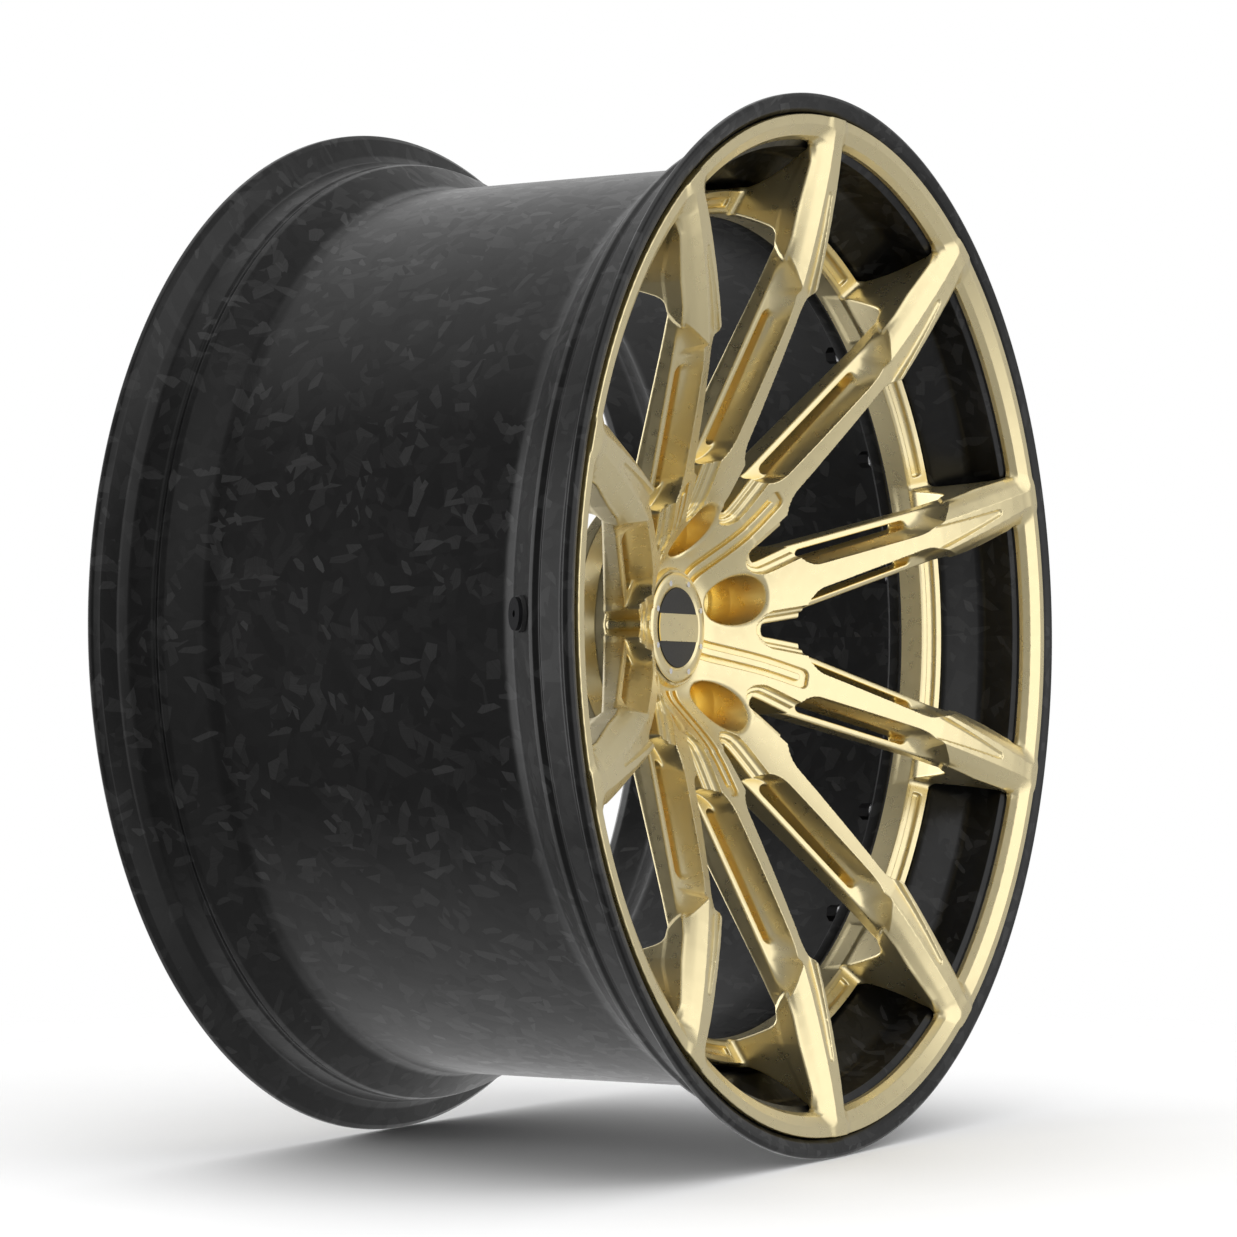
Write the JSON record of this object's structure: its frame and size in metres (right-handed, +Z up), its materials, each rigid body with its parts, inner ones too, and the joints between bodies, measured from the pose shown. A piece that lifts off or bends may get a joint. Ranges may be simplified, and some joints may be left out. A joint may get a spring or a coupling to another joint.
{
  "type": "wheel rim",
  "caption": "Racing wheel rim: a forged carbon barrel with a bolted gold spoked centre, a push-in centre cap and a tyre valve, carried on a car's hub by its lug holes.",
  "frame": {"origin": "on the axle, at the centre of the hub bore's mouth in the mounting face", "axes": "Y along the axle with the street side facing -Y, +Z up, X across"},
  "size_m": [0.5985, 0.302, 0.5986],
  "materials": {
    "carbon": "forged carbon under satin clear coat",
    "gold": "satin gold anodised",
    "steel": "satin",
    "bolt_steel": "dark zinc",
    "brass": "turned",
    "rubber": "matte",
    "cap_plastic": "moulded",
    "cap_inlay": "gloss"
  },
  "bodies": {
    "wheel": {"barrel": "carbon", "centre": "gold", "front_isolator": "rubber", "rear_gasket": "rubber", "flange_sleeves": "steel", "assembly_bolts": "bolt_steel", "bolt_washers": "steel", "valve_stem": "steel", "valve_grommet": "rubber", "valve_washer": "steel", "valve_nut": "steel", "valve_core": "brass", "valve_core_seal": "rubber", "valve_core_spring": "steel"},
    "centre_cap": {"cap_body": "cap_plastic", "cap_retainer": "steel", "cap_bezel": "gold", "cap_disc": "cap_inlay", "cap_band": "gold", "cap_screws": "steel"},
    "valve_pin": {"valve_core_pin": "brass"},
    "valve_cap_lift": {"valve_cap_seal": "rubber"},
    "valve_cap_turn": {"valve_cap": "gold"}
  },
  "joints": [
    {"name": "cap_pull", "type": "slide", "parent": "wheel", "child": "centre_cap", "axis": [0, -1, 0], "range_m": [0, 0.06]},
    {"name": "pin_press", "type": "slide", "parent": "wheel", "child": "valve_pin", "axis": [-0.7719, 0.6357, 0], "range_m": [0, 0.0015], "stiffness_N_per_m": 200, "springref_m": -0.003, "deforming": ["valve_core_spring"]},
    {"name": "valve_cap_rise", "type": "slide", "parent": "wheel", "child": "valve_cap_lift", "axis": [0.7719, -0.6357, 0], "range_m": [0, 0.00397]},
    {"name": "valve_cap_unscrew", "type": "hinge", "parent": "valve_cap_lift", "child": "valve_cap_turn", "pos_m": [-0.25157, -0.10766, 0], "axis": [0.7719, -0.6357, 0], "range_deg": [0, 1800]}
  ],
  "couplings": [
    {"joint": "valve_cap_unscrew", "follows": "valve_cap_rise", "rad_per_m": 7915.8}
  ]
}
